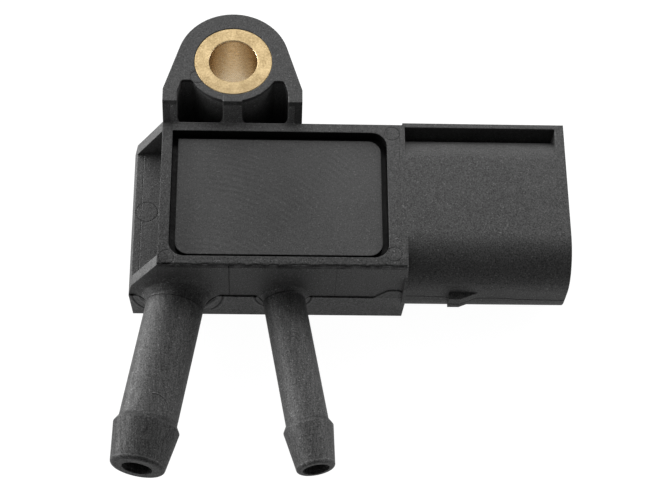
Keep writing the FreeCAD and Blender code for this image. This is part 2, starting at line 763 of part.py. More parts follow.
def make_cover():
    """The plate that closes the chamber; one of its corners is square."""
    body = new_body("cover_plate")
    gap = size["cover_gap"]
    corner = size["cover_round"]
    outline = new_sketch(body, "CoverOutline", "XY_Plane", (0, 0, seat_z))
    add_round_box(outline, (seat_left + gap, seat_hose_y + gap),
                  (seat_right - gap, seat_lug_y - gap), (corner, corner, corner, None))
    pad(body, outline, "Cover", size["cover_thickness"])
    return body


def make_bead():
    """The bead that fills the foot of the groove round the cover."""
    body = new_body("cover_seal")
    gap = size["cover_gap"]
    outer = size["seat_round"]
    inner = size["cover_round"]
    outline = new_sketch(body, "BeadOutline", "XY_Plane", (0, 0, seat_z))
    add_round_box(outline, (seat_left, seat_hose_y), (seat_right, seat_lug_y),
                  (outer, outer, outer, None))
    add_round_box(outline, (seat_left + gap, seat_hose_y + gap),
                  (seat_right - gap, seat_lug_y - gap), (inner, inner, inner, None))
    pad(body, outline, "Bead", size["bead_height"])
    return body


def make_bush():
    body = new_body("mounting_bush")
    inner = size["bush_bore"] / 2
    outer = size["bush_diameter"] / 2
    chamfer = size["bush_chamfer"]
    top = size["bush_length"]
    outline = new_sketch(body, "BushOutline", "XZ_Plane")
    add_polygon(outline, [
        (inner, chamfer), (inner + chamfer, 0), (outer - chamfer, 0), (outer, chamfer),
        (outer, top - chamfer), (outer - chamfer, top), (inner + chamfer, top),
        (inner, top - chamfer)])
    revolve(body, outline, "Bush")
    return body


def make_blade(name, number):
    body = new_body(name)
    outline = new_sketch(body, name + "_side", "XZ_Plane", (0, 0, -blade_side_y(number)))
    add_polygon(outline, blade_points(sized(0)))
    pad(body, outline, name + "_pad", size["blade_width"], back=True)
    return body


def make_board():
    body = new_body("circuit_board")
    corner = size["board_round"] + size["board_gap"]
    outline = new_sketch(body, "BoardOutline", "XY_Plane", (0, 0, board_seat))
    add_round_box(outline, (board_left, board_hose_y),
                  (board_right, board_hose_y + size["board_width"]), (corner,) * 4)
    pad(body, outline, "Board", size["board_thickness"])
    return body


cell_z = well_floor + size["port_seal_height"]
die_floor = cell_z + size["cell_floor"]
cell_top = cell_z + size["cell_height"]
gel_left = size["cell_wall"] + size["gel_gap"] - size["cell_length"] / 2
die_x = gel_left + size["gel_margin"] + size["pedestal_size"] / 2


def make_cell():
    """The moulded cell: a well with one hole under the die and one beside it."""
    body = new_body("sensor_cell")
    half_length = size["cell_length"] / 2
    half_width = size["cell_width"] / 2
    outline = new_sketch(body, "CellOutline", "XY_Plane", (0, 0, cell_z))
    add_round_box(outline, (-half_length, riser_y - half_width),
                  (half_length, riser_y + half_width), (size["cell_round"],) * 4)
    pad(body, outline, "Cell", size["cell_height"])
    rim = size["cell_rim"]
    seat = new_sketch(body, "LidSeat", "XY_Plane", (0, 0, cell_top))
    add_polygon(seat, [
        (rim - half_length, riser_y + rim - half_width),
        (half_length - rim, riser_y + rim - half_width),
        (half_length - rim, riser_y + half_width - rim),
        (rim - half_length, riser_y + half_width - rim)])
    pocket(body, seat, "LidSeatCut", size["cell_lid_thickness"])
    wall = size["cell_wall"]
    well = new_sketch(body, "CellCavity", "XY_Plane", (0, 0, cell_top))
    add_polygon(well, [
        (wall - half_length, riser_y + wall - half_width),
        (half_length - wall, riser_y + wall - half_width),
        (half_length - wall, riser_y + half_width - wall),
        (wall - half_length, riser_y + half_width - wall)])
    pocket(body, well, "CellCavityCut", size["cell_height"] - size["cell_floor"])
    holes = new_sketch(body, "CellHoles", "XY_Plane", (0, 0, cell_top))
    add_circle(holes, size["pedestal_bore"] / 2, (die_x, riser_y))
    add_circle(holes, size["pedestal_bore"] / 2, (size["riser_spacing"] / 2, riser_y))
    pocket(body, holes, "CellHolesCut", size["cell_height"])
    return body


def make_lid():
    edge = size["cell_rim"] + size["cell_lid_gap"]
    length = size["cell_length"] - 2 * edge
    width = size["cell_width"] - 2 * edge
    return block("cell_lid", (-length / 2, riser_y - width / 2, cell_top - size["cell_lid_thickness"]),
                 (length, width, size["cell_lid_thickness"]))


def make_pedestal():
    half = size["pedestal_size"] / 2
    base = block("PedestalBlock", (die_x - half, riser_y - half, die_floor),
                 (size["pedestal_size"], size["pedestal_size"], size["pedestal_height"]))
    hole = rod("PedestalHole", (die_x, riser_y, die_floor), size["pedestal_bore"],
               size["pedestal_height"])
    return cut_away("die_pedestal", base, hole)


def make_die():
    """The silicon die, etched from below to a thin membrane."""
    half = size["die_size"] / 2
    bottom = die_floor + size["pedestal_height"]
    base = block("DieBlock", (die_x - half, riser_y - half, bottom),
                 (size["die_size"], size["die_size"], size["die_height"]))
    thin = size["membrane_size"] / 2
    etched = block("DieEtch", (die_x - thin, riser_y - thin, bottom),
                   (size["membrane_size"], size["membrane_size"],
                    size["die_height"] - size["membrane_thickness"]))
    return cut_away("pressure_die", base, etched)


def make_gel():
    """Soft gel that covers the pedestal and the die."""
    half = size["pedestal_size"] / 2 + size["gel_margin"]
    height = size["pedestal_height"] + size["die_height"] + size["gel_cover"]
    whole = block("GelBlock", (die_x - half, riser_y - half, die_floor),
                  (2 * half, 2 * half, height))
    foot_half = size["pedestal_size"] / 2
    foot = block("GelFoot", (die_x - foot_half, riser_y - foot_half, die_floor),
                 (size["pedestal_size"], size["pedestal_size"], size["pedestal_height"]))
    open_gel = cut_away("GelOverPedestal", whole, foot)
    die_half = size["die_size"] / 2
    head = block("GelHead", (die_x - die_half, riser_y - die_half, die_floor),
                 (size["die_size"], size["die_size"], size["pedestal_height"] + size["die_height"]))
    return cut_away("protective_gel", open_gel, head)


def make_port_seal(name, side):
    place_x = side * size["riser_spacing"] / 2
    ring = rod(name + "_disc", (place_x, riser_y, well_floor), size["port_seal_diameter"],
               size["port_seal_height"])
    hole = rod(name + "_hole", (place_x, riser_y, well_floor), size["riser_bore"],
               size["port_seal_height"])
    return cut_away(name, ring, hole)


def make_cell_lead(number):
    first_y = riser_y - size["cell_lead_pitch"] * (CELL_LEADS - 1) / 2 - size["cell_lead_width"] / 2
    start_x = size["cell_length"] / 2
    return block("cell_lead_%d" % (number + 1),
                 (start_x, first_y + size["cell_lead_pitch"] * number, board_top),
                 (board_left + size["cell_lead_overlap"] - start_x, size["cell_lead_width"],
                  size["cell_lead_thickness"]))


def make_chip():
    middle_x = board_left + size["board_length"] / 2
    middle_y = board_hose_y + size["board_width"] / 2
    half = size["chip_size"] / 2
    return block("signal_chip", (middle_x - half, middle_y - half, board_top),
                 (size["chip_size"], size["chip_size"], size["chip_height"]))


def make_row(name, count, row_y):
    """A row of equal chip components along the board, clear of the blades on it."""
    last_x = blade_end_x - size["component_gap"] - size[name + "_width"]
    first_x = last_x - size["component_pitch"] * (count - 1)
    return [block("%s_%d" % (name, number + 1),
                  (first_x + size["component_pitch"] * number, row_y, board_top),
                  (size[name + "_width"], size[name + "_length"], size[name + "_height"]))
            for number in range(count)]


def make_parts():
    margin = size["board_margin"]
    parts = [make_housing(), make_cover(), make_bead(), make_bush()]
    for name, number in (("terminal_supply", -1), ("terminal_signal", 0), ("terminal_ground", 1)):
        parts.append(make_blade(name, number))
    parts += [make_board(), make_cell(), make_lid(), make_pedestal(), make_die(), make_gel()]
    parts.append(make_port_seal("port_seal_large", -1))
    parts.append(make_port_seal("port_seal_small", 1))
    parts += [make_cell_lead(number) for number in range(CELL_LEADS)]
    parts.append(make_chip())
    parts += make_row("capacitor", CAPACITORS, board_hose_y + margin)
    resistor_y = board_hose_y + size["board_width"] - margin - size["resistor_length"]
    parts += make_row("resistor", RESISTORS, resistor_y)
    return parts


def check(parts):
    """Stops where an object failed, or where a sub-part has no sound shape."""
    for item in doc.Objects:
        if "Invalid" in item.State or "Error" in item.State:
            raise RuntimeError("%s failed: %s" % (item.Label, item.State))
    for part in parts:
        if part.Shape.isNull() or not part.Shape.isValid() or not part.Shape.Solids:
            raise RuntimeError("%s has no sound shape" % part.Label)


parts = make_parts()
doc.recompute()
check(parts)
os.makedirs("parts", exist_ok=True)
for part in parts:
    part.Shape.exportStep("parts/%s.step" % part.Label)
    print(part.Label, len(part.Shape.Solids), round(part.Shape.Volume, 3))
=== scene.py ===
import math

import bpy
from mathutils import Matrix, Vector

MM = 0.001

# Places on the part in millimetres, as the frame gives them.
NIPPLE_X = 7.03
NIPPLE_Z = 5.7
HOSE_WALL_Y = -29.12
SPLAY = math.radians(10.1)
BARB_FOOT = 18.75
BLOCK_END_X = 23.3
PARTING_Z = 5.72
SHROUD_SEAM_Z = 8.4
SHROUD_SEAM_FALL = 0.039
FLOW_GATE = (-4, -36)
COVER_MIDDLE = (5.5, -18.5)
# Height ranges that hold one face each.
WING_TOP = (7.9, 8.6)
FRAME_TOP = (14.5, 14.9)
BUSH_LIP = (17.45, 17.78)
LUG_TOP = (17.5, 18.0)
ABOVE_PARTING = (5.9, 14.6)
# Radius at which the bush's bore gives way to its end face.
BORE_EDGE = 3.29

HOUSING_TONE = 0.027
COVER_TONE = 0.032

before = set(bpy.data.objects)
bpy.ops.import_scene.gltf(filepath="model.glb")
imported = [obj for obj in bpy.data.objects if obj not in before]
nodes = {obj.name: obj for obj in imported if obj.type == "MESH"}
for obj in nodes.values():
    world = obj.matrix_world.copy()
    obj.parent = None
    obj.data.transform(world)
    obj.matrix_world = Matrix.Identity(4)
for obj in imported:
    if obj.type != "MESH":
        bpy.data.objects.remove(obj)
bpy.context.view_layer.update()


def grey(value):
    return (value, value, value, 1.0)


class Nodes:
    """Builds a material's node tree; every value may be a number or another node's socket."""

    def __init__(self, name):
        self.material = bpy.data.materials.new(name)
        self.material.use_nodes = True
        self.tree = self.material.node_tree
        self.tree.nodes.clear()

    def add(self, kind, **settings):
        node = self.tree.nodes.new(kind)
        for name, value in settings.items():
            setattr(node, name, value)
        return node

    def feed(self, socket, value):
        if isinstance(value, bpy.types.NodeSocket):
            self.tree.links.new(value, socket)
        else:
            socket.default_value = value

    def end(self, shader):
        self.feed(self.add("ShaderNodeOutputMaterial").inputs["Surface"], shader)

    def math(self, operation, first, second=0.0, clamp=False):
        node = self.add("ShaderNodeMath", operation=operation, use_clamp=clamp)
        self.feed(node.inputs[0], first)
        self.feed(node.inputs[1], second)
        return node.outputs[0]

    def scale(self, value, factor):
        return self.math("MULTIPLY", value, factor)

    def less(self, value, part):
        return self.math("SUBTRACT", value, part)

    def both(self, *masks):
        result = masks[0]
        for mask in masks[1:]:
            result = self.math("MULTIPLY", result, mask)
        return result

    def total(self, *values):
        result = values[0]
        for value in values[1:]:
            result = self.math("ADD", result, value)
        return result

    def weigh(self, *pairs):
        """Sum of masks, each with its own weight."""
        return self.total(*(self.scale(mask, weight) for mask, weight in pairs))

    def spread(self, value, low, high, to_low=0.0, to_high=1.0):
        """Maps low to high onto another range, and keeps within it."""
        node = self.add("ShaderNodeMapRange")
        node.clamp = True
        self.feed(node.inputs["Value"], value)
        for name, number in (("From Min", low), ("From Max", high),
                             ("To Min", to_low), ("To Max", to_high)):
            self.feed(node.inputs[name], number)
        return node.outputs[0]

    def ridge(self, distance, width):
        """1 where the distance is 0, falling to 0 at width."""
        return self.spread(self.math("ABSOLUTE", distance), 0.0, width, 1.0, 0.0)

    def wave(self, distance, period):
        """Sine of a distance, from -1 to 1, one turn in 2 pi periods."""
        return self.math("SINE", self.scale(distance, 1 / period))

    def blend(self, factor, first, second):
        node = self.add("ShaderNodeMix", data_type="RGBA")
        self.feed(node.inputs["Factor"], factor)
        self.feed(node.inputs[6], first)
        self.feed(node.inputs[7], second)
        return node.outputs[2]


class Look(Nodes):
    """A principled material with patterns tied to the part; places are in millimetres."""

    SOCKETS = {"color": "Base Color", "roughness": "Roughness", "metallic": "Metallic",
               "specular": "Specular IOR Level", "ior": "IOR",
               "transmission": "Transmission Weight"}

    def __init__(self, name):
        super().__init__(name)
        self.shader = self.add("ShaderNodeBsdfPrincipled")
        self.end(self.shader.outputs["BSDF"])
        self.place = self.add("ShaderNodeTexCoord").outputs["Object"]
        self.split = self.add("ShaderNodeSeparateXYZ")
        self.feed(self.split.inputs[0], self.place)

    def axis(self, letter):
        return self.split.outputs[letter]

    def noise(self, size, detail=3.0, roughness=0.55, stretch=None):
        """Noise whose cells are about size metres wide, from 0 to 1."""
        node = self.add("ShaderNodeTexNoise")
        self.feed(node.inputs["Scale"], 1 / size)
        self.feed(node.inputs["Detail"], detail)
        self.feed(node.inputs["Roughness"], roughness)
        place = self.place
        if stretch is not None:
            mapping = self.add("ShaderNodeMapping")
            mapping.inputs["Scale"].default_value = stretch
            self.feed(mapping.inputs["Vector"], place)
            place = mapping.outputs[0]
        self.feed(node.inputs["Vector"], place)
        return node.outputs["Fac"]

    def wander(self, size, reach, **settings):
        """Noise round 0 that drifts by reach to either side."""
        return self.spread(self.noise(size, **settings), 0.3, 0.7, -reach, reach)

    def past(self, letter, at):
        return self.math("GREATER_THAN", self.axis(letter), at * MM)

    def before(self, letter, at):
        return self.math("LESS_THAN", self.axis(letter), at * MM)

    def inside(self, letter, low, high):
        return self.both(self.past(letter, low), self.before(letter, high))

    def box(self, **spans):
        """1 between two places on each axis that is named."""
        return self.both(*(self.inside(letter, *span) for letter, span in spans.items()))

    def fade(self, letter, low, high, to_low=0.0, to_high=1.0):
        """Runs from to_low to to_high between two places on an axis."""
        return self.spread(self.axis(letter), low * MM, high * MM, to_low, to_high)

    def line(self, letter, at, width):
        return self.ridge(self.less(self.axis(letter), at * MM), width * MM)

    def radius(self, x, y, letters="XY"):
        """Distance in metres from an axis that stands on the plane of two letters."""
        across = self.less(self.axis(letters[0]), x * MM)
        along = self.less(self.axis(letters[1]), y * MM)
        squares = (self.math("POWER", across, 2.0), self.math("POWER", along, 2.0))
        return self.math("SQRT", self.total(*squares))

    def ring(self, x, y, radius, width, letters="XY"):
        return self.ridge(self.less(self.radius(x, y, letters), radius * MM), width * MM)

    def set(self, **values):
        for name, value in values.items():
            self.feed(self.shader.inputs[self.SOCKETS[name]], value)

    def surface(self, height, distance, strength=1.0, edge=None):
        """Joins a bump in metres, and a fine round of the edges, to the shader."""
        bump = self.add("ShaderNodeBump")
        bump.inputs["Strength"].default_value = strength
        bump.inputs["Distance"].default_value = distance
        self.feed(bump.inputs["Height"], height)
        if edge is not None:
            bevel = self.add("ShaderNodeBevel", samples=6)
            bevel.inputs["Radius"].default_value = edge
            self.feed(bump.inputs["Normal"], bevel.outputs[0])
        self.feed(self.shader.inputs["Normal"], bump.outputs[0])


def moulded_plastic(name, tone, marks, edge, grain=1.0):
    """Glass-filled black plastic: fine grain, cloudy tone, painted glints, a painted light
    gradient, and the mould's own marks with painted light and shade.

    marks returns a factor for the tone, a factor for the gloss and a height.
    """
    t = Look(name)
    speck = t.noise(0.17 * MM, detail=2.0, roughness=0.7)
    pitted = t.noise(0.19 * MM, detail=2.0, roughness=0.7, stretch=(1.1, 0.9, 1.0))
    # Painted glints: sparse bright specks added to the tone, for the glass filler's reflections.
    painted_glint = t.spread(t.noise(0.20 * MM, detail=1.0), 0.64, 0.76, 0.0, 2.4 * grain)
    # Painted light: tone and gloss rise from the hose side towards the lug, for the light
    # falling off across the part.
    tarnish_and_painted_light = t.fade("Y", -29, -8, -0.12, 0.06)
    tint, shine, relief = marks(t)
    lighter = t.total(t.wander(6 * MM, 0.14, detail=4.0, roughness=0.6),
                      t.spread(speck, 0.32, 0.68, -0.6 * grain, 0.6 * grain), tarnish_and_painted_light, painted_glint, 1.0)
    value = t.both(t.scale(lighter, tone), tint)
    gloss = t.total(t.spread(pitted, 0.32, 0.68, -0.30 * grain, 0.30 * grain), 0.5, tarnish_and_painted_light)
    fine = t.noise(0.19 * MM, detail=3.0, roughness=0.7)
    skin = t.weigh((fine, 0.42 * grain), (t.noise(0.8 * MM, detail=2.0), 0.4))
    shade = t.add("ShaderNodeCombineColor")
    for socket in shade.inputs[:3]:
        t.feed(socket, value)
    t.set(color=shade.outputs[0], roughness=t.spread(speck, 0.3, 0.7, 0.56, 0.72),
          specular=t.both(shine, gloss))
    t.surface(t.total(t.scale(skin, 0.8), relief), 0.1 * MM, 1.0, edge * MM)
    return t.material


def along_nipple(t, side):
    """Distance from the hose-side wall along the axis of a nipple, in metres."""
    across = t.less(t.axis("X"), side * NIPPLE_X * MM)
    out = t.less(t.axis("Y"), HOSE_WALL_Y * MM)
    return t.less(t.scale(across, side * math.sin(SPLAY)), t.scale(out, math.cos(SPLAY)))


def nipple_marks(t):
    """Rings where the tubes' own cavities start, painted highlights on the lit collars and the
    rims, painted shade at the barb feet, and painted light on the tubes.
    """
    left = t.before("X", 0.0)
    right = t.less(1.0, left)
    sides = []
    for side, half, root in ((-1, left, 1.8), (1, right, 0.65)):
        place = along_nipple(t, side)

        def band(at, width):
            return t.ridge(t.less(place, at * MM), width * MM)

        def rise(start, end, low=0.0, high=1.0):
            return t.spread(place, start * MM, end * MM, low, high)

        # Painted light on each tube, a painted highlight on the upper-left side of its collar
        # and along its tip's rim, and painted shade at its barb foot.
        tube = t.both(rise(root - 0.1, root + 0.2), rise(18.2, 18.6, 1.0, 0.0))
        collar = t.both(rise(root - 1.3, root - 0.9), rise(root - 0.1, root, 1.0, 0.0),
                        t.fade("X", side * NIPPLE_X - 2.5, side * NIPPLE_X + 0.5, 1.0, 0.0))
        parts = (band(root, 0.10), collar, band(BARB_FOOT, 0.5), band(24.3, 0.14), tube)
        sides.append([t.both(part, half) for part in parts])
    outside = t.before("Y", -29.5)
    return [t.both(t.total(*pair), outside) for pair in zip(*sides)]


def flare_marks(t):
    """Dark edge round the nipples' roots, a painted highlight on the lip beside it, and painted
    shade on the roots' lower flanks.
    """
    edges, lips, flanks = [], [], []
    for x, reach, edge, width, lip, tube in ((-NIPPLE_X, (-14.0, 0.0), 6.0, 0.25, 6.38, 4.1),
                                             (NIPPLE_X, (0.0, 14.0), 3.74, 0.22, 4.1, 3.0)):
        edges.append(t.ring(x, NIPPLE_Z, edge, width, "XZ"))
        # Painted highlight along the lip beside the dark edge.
        lips.append(t.ring(x, NIPPLE_Z, lip, 0.18, "XZ"))
        axis_x = math.copysign(7.3, x)
        beyond = t.math("GREATER_THAN", t.radius(axis_x, NIPPLE_Z, "XZ"), tube * MM)
        flanks.append(t.both(t.inside("X", *reach), beyond))
    step = t.box(Y=(-29.9, -28.9), Z=(1.5, 5.75))
    # Painted shade on the roots' lower flanks, just under the parting.
    flank = t.both(t.inside("Y", -32.6, -29.35), t.fade("Z", 4.3, 5.0),
                   t.fade("Z", 5.75, 5.95, 1.0, 0.0), t.total(*flanks))
    return t.both(t.total(*edges), step), t.both(t.total(*lips), step), flank


def parting_marks(t):
    """The wavy parting line, the lip under it, which carries a painted highlight, and the step
    at the foot of the block, which carries painted light bounced off the floor.
    """
    wave = t.wander(4 * MM, 0.14 * MM, detail=3.0)
    level = PARTING_Z * MM
    sloped = t.less(SHROUD_SEAM_Z * MM, t.scale(t.axis("X"), SHROUD_SEAM_FALL))
    rise = t.both(t.past("X", BLOCK_END_X), t.less(sloped, level))
    above = t.less(t.less(t.axis("Z"), t.total(level, rise)), wave)
    unbroken = t.less(1.0, t.inside("X", 19.1, BLOCK_END_X))
    seam = t.both(t.ridge(above, 0.17 * MM), t.inside("Y", -52.0, -28.8), unbroken)
    # Painted highlight: a bright line along the lip under the parting line.
    lip = t.both(t.ridge(t.math("ADD", above, 0.36 * MM), 0.16 * MM),
                 t.box(Y=(-33.0, -29.0), X=(-14, BLOCK_END_X)), unbroken)
    # The foot band, which housing_marks paints lighter for the light bounced off the floor.
    foot = t.both(t.math("LESS_THAN", above, 0.0), t.inside("Y", -29.5, -29.0))
    return seam, lip, foot


def ejector_rings(t):
    """Rings that the pins of the mould left on wing, frame and lug."""
    pins = ((-11.36, -18.06, 1.45, 0.13, WING_TOP), (-8.15, -28.0, 1.0, 0.12, FRAME_TOP),
            (21.43, -9.13, 1.0, 0.12, FRAME_TOP), (21.34, -27.25, 1.0, 0.12, FRAME_TOP),
            (-4.75, -2.60, 0.95, 0.16, LUG_TOP))
    return t.total(*(t.both(t.ring(x, y, radius, width), t.inside("Z", *top))
                     for x, y, radius, width, top in pins))


def flow_scar(t):
    """The short curved scar on the large nipple, where two fronts of the melt met."""
    arc = t.ring(-9.35, -46.65, 1.9, 0.16)
    return t.both(arc, t.box(X=(-9.6, -7.0), Y=(-46.9, -44.5), Z=(7.5, 10.0)))


def rough_rim(t):
    """The torn flash along the frame's hose-side rim."""
    torn = t.wander(1.1 * MM, 0.10 * MM, detail=3.0)
    place = t.total(t.less(t.axis("Y"), -29.0 * MM), torn)
    return t.both(t.ridge(place, 0.26 * MM), t.box(Z=(14.0, 14.9), X=(-9.4, 23.0)))


def flash(t, face):
    """Bright specks of flash on the frame, and crumbs of it in the small nipple's tip."""
    corner = t.box(X=(20.6, 22.2), Y=(-28.6, -23.5))
    fleck = t.both(t.spread(t.noise(0.45 * MM, detail=1.0), 0.66, 0.74), face,
                   t.total(t.inside("Y", -28.6, -27.8), corner))
    crumbs = t.spread(t.noise(0.5 * MM, detail=3.0, roughness=0.7), 0.56, 0.62)
    in_tip = t.math("GREATER_THAN", along_nipple(t, 1), 24.2 * MM)
    return fleck, t.both(crumbs, t.inside("X", 9.0, 14.2), in_tip)


def housing_marks(t):
    """Parting line, ejector rings, witness lines, flash, and the tone of each zone with its
    painted light and shade.
    """
    seam, lip, foot = parting_marks(t)
    root_rings, collars, barb_feet, rims, tubes = nipple_marks(t)
    flare_edge, flare_lip, flare_flank = flare_marks(t)
    scar = flow_scar(t)

    face = t.inside("Z", *FRAME_TOP)
    fleck, crumbs = flash(t, face)
    wall = t.box(Y=(-29.6, -29.0), Z=ABOVE_PARTING, X=(-9.3, BLOCK_END_X))
    wall_lines = t.both(t.total(t.line("X", -0.11, 0.10), t.scale(t.line("X", 13.9, 0.08), 0.6)),
                        wall)
    top_line = t.both(t.line("X", 22.4, 0.07), face, t.inside("Y", -30, -7))
    wing_line = t.both(t.line("X", -12.1, 0.07), t.inside("Z", *WING_TOP))
    # Painted highlights along the webs' edges by the pockets.
    web_edges = t.both(t.total(t.line("X", -1.2, 0.12), t.line("X", 7.5, 0.12)),
                       t.box(Y=(-7.75, -5.4), Z=(14.4, 18.0)))

    wing = t.box(X=(-14.0, -9.4), Z=WING_TOP)
    gusset = t.box(X=(-13.7, -9.4), Y=(-29.2, -26.5), Z=(8.7, 14.7))
    frame_left = t.both(t.box(X=(-9.4, -7.9), Y=(-29.2, -7.7)), face)
    frame_hose = t.both(t.inside("Y", -29.2, -27.7), face)
    # Painted shadow in the frame's recess round the cover; painted light lifts the shade in the
    # pockets and in the groove beside the fin.
    recess = t.box(X=(-8.1, 20.8), Y=(-27.9, -8.85), Z=(11.6, 14.62))
    lug_top = t.box(Y=(-7.7, 8.0), Z=(17.4, 18.0))
    pocket = t.box(X=(-8.3, 8.3), Y=(-7.8, -2.9), Z=(2.9, 17.3))
    groove = t.both(t.box(X=(23.2, 43.8), Y=(-12.9, -8.0)), t.fade("Z", 11.8, 13.4, 1.0, 0.0))
    small = t.both(t.inside("X", 5.0, 16.0), t.before("Y", -29.6))
    large_barb = t.both(t.before("X", 0.0), t.before("Y", -47.6))
    streaks = t.both(t.wander(0.22 * MM, 0.25, detail=2.0, stretch=(1.0, 0.10, 1.0)),
                     t.before("Y", -30.0))

    # Dark marks: the mould's parting line, rings, witness lines and torn rim, the dark edge and
    # rings at the nipples' roots, and painted shade at the barb feet and on the roots' lower
    # flanks.
    dark = t.weigh((seam, 0.85), (ejector_rings(t), 0.4), (top_line, 0.4), (wall_lines, 0.65),
                   (wing_line, 0.35), (rough_rim(t), 0.8), (root_rings, 0.5),
                   (barb_feet, 0.25), (flare_edge, 0.85), (flare_flank, 0.6))
    # Painted shadow: the frame's recess round the cover is darkened.
    kept = t.both(t.math("SUBTRACT", 1.0, dark, clamp=True), t.less(1.0, t.scale(recess, 0.82)))
    # Tone of each zone, which also scales the gloss. The streaks along the nipples are real. The
    # rest is painted light and shade: the foot is lit by light bounced off the floor; the wall,
    # wing, gusset, small nipple and tubes are lighter; the large barb, frame edges and lug top
    # are darker.
    zones = t.total(1.0, streaks, t.weigh(
        (foot, 0.5), (wall, 0.16), (wing, 0.12), (small, 0.22), (large_barb, -0.18),
        (frame_left, -0.2), (frame_hose, -0.16), (lug_top, -0.12), (gusset, 0.35),
        (tubes, 0.05)))
    # Lighter marks: real flash, crumbs and flow scar; painted highlights on the lips, collars,
    # rims and web edges; and painted light on the tubes, foot, wall, wing, small nipple, groove
    # and pockets.
    pale = t.weigh(
        (tubes, 0.2), (lip, 0.6), (foot, 0.25), (wall, 0.15), (fleck, 2.2), (collars, 1.6),
        (rims, 1.0), (scar, 0.7), (wing, 0.2), (flare_lip, 1.4), (groove, 1.6), (pocket, 1.6),
        (web_edges, 1.8), (small, 0.1), (crumbs, 1.2))
    shine = t.both(kept, zones)
    relief = t.weigh((dark, -1.0), (lip, 0.4), (fleck, 1.0), (crumbs, 1.0), (scar, 0.8),
                     (flare_lip, 0.4))
    return t.both(shine, t.total(1.0, pale)), shine, relief


def cover_marks(t):
    """Faint flow marks that spread from one corner of the plate, painted shade on its flanks,
    and painted shade over its middle.
    """
    flow = t.both(t.wave(t.radius(*FLOW_GATE), 0.13 * MM), t.spread(t.noise(8 * MM), 0.45, 0.65))
    # Painted shade: the plate's flanks below its top are darkened, in tone and gloss.
    kept = t.less(1.0, t.scale(t.before("Z", 13.55), 0.8))
    # Painted shade: the middle of the plate is darker.
    middle = t.spread(t.radius(*COVER_MIDDLE), 3.0 * MM, 11.0 * MM, -0.20, 0.0)
    shine = t.both(kept, t.total(1.0, middle))
    return t.both(shine, t.total(1.0, t.scale(flow, 0.10))), shine, t.scale(flow, 0.08)


def turned_brass(name):
    """Pale turned brass: fine rings on the ends and in the bore, a little tarnish, a bore
    painted brighter than the end face, a face painted darker towards the hose side, and painted
    shade on the bore's sides and upper rim.
    """
    t = Look(name)
    radius = t.radius(0, 0)
    turned = t.spread(t.wave(radius, 0.035 * MM), -1.0, 1.0)
    pitted = t.noise(0.28 * MM, detail=3.0, roughness=0.75)
    tarnish = t.noise(2.2 * MM, detail=4.0, roughness=0.6)
    # Tarnish on the end face, mottled with the pits.
    tarnish_and_painted_light = t.spread(t.total(tarnish, pitted), 0.82, 1.2)
    streak = t.noise(0.12 * MM, detail=2.0, roughness=0.7, stretch=(0.12, 0.12, 1.0))

    # Painted shade: the end face is given a darker brass than the bore; the blend between its
    # two tones is tarnish.
    face = t.blend(tarnish_and_painted_light, (0.60, 0.47, 0.27, 1), (0.38, 0.28, 0.145, 1))
    # Painted shade: the face darkens towards the hose side.
    face = t.blend(t.fade("Y", -5.3, -1.0, 0.32, 0.0), face, (0.28, 0.21, 0.12, 1))
    # Painted light: the bore's brass is painted much brighter than the face's; the streaks are
    # turning marks.
    bore = t.blend(t.spread(streak, 0.3, 0.7), (0.97, 0.82, 0.58, 1), (0.74, 0.57, 0.36, 1))
    # Painted shade on the bore's left and right sides, for the stretched reflection of the
    # turned bore, and along its upper rim.
    sides = t.spread(t.math("ABSOLUTE", t.axis("X")), 1.6 * MM, 3.2 * MM)
    lip = t.both(t.inside("Z", *BUSH_LIP), t.fade("Y", 0.6, 2.0))
    bore = t.blend(t.weigh((sides, 0.55), (lip, 0.4)), bore, (0.30, 0.21, 0.12, 1))

    on_face = t.math("GREATER_THAN", radius, BORE_EDGE * MM)
    t.set(color=t.blend(on_face, bore, face), metallic=1.0,
          roughness=t.total(t.spread(pitted, 0.3, 0.7, 0.20, 0.30), t.scale(on_face, 0.36)))
    t.surface(t.weigh((turned, 0.10), (streak, 0.35), (pitted, 0.5)), 0.06 * MM, 1.0, 0.12 * MM)
    return t.material


def sealant(name):
    """Black gel-like bead, slightly uneven."""
    t = Look(name)
    wet = t.noise(1.5 * MM, detail=2.0)
    t.set(color=t.blend(wet, grey(0.004), grey(0.009)),
          roughness=t.spread(wet, 0.3, 0.7, 0.45, 0.6), specular=0.2)
    t.surface(t.noise(0.9 * MM, detail=2.0), 0.12 * MM, 0.6)
    return t.material


def tinned(name):
    """Tinned strip with the streaks of its rolling."""
    t = Look(name)
    streak = t.noise(0.35 * MM, detail=3.0, stretch=(0.15, 1.0, 1.0))
    t.set(color=t.blend(streak, (0.56, 0.54, 0.50, 1), (0.72, 0.71, 0.68, 1)), metallic=1.0,
          roughness=t.spread(streak, 0.3, 0.7, 0.26, 0.42))
    t.surface(streak, 0.03 * MM, 0.6, 0.08 * MM)
    return t.material


def board_mask(name):
    """Green solder mask over the weave of the board."""
    t = Look(name)
    weave = t.both(t.noise(0.4 * MM, detail=1.0, stretch=(1.0, 0.3, 1.0)),
                   t.noise(0.4 * MM, detail=1.0, stretch=(0.3, 1.0, 1.0)))
    t.set(color=t.blend(weave, (0.006, 0.055, 0.024, 1), (0.02, 0.14, 0.06, 1)), roughness=0.34)
    t.surface(weave, 0.03 * MM, 0.5, 0.06 * MM)
    return t.material


def plain_part(name, low, high, roughness, size, metallic=0.0):
    """A small part whose colour drifts between two tones."""
    t = Look(name)
    drift = t.noise(size * MM, detail=3.0)
    t.set(color=t.blend(drift, low, high), metallic=metallic,
          roughness=t.spread(drift, 0.3, 0.7, roughness, roughness + 0.1))
    t.surface(drift, 0.02 * MM, 0.6, 0.06 * MM)
    return t.material


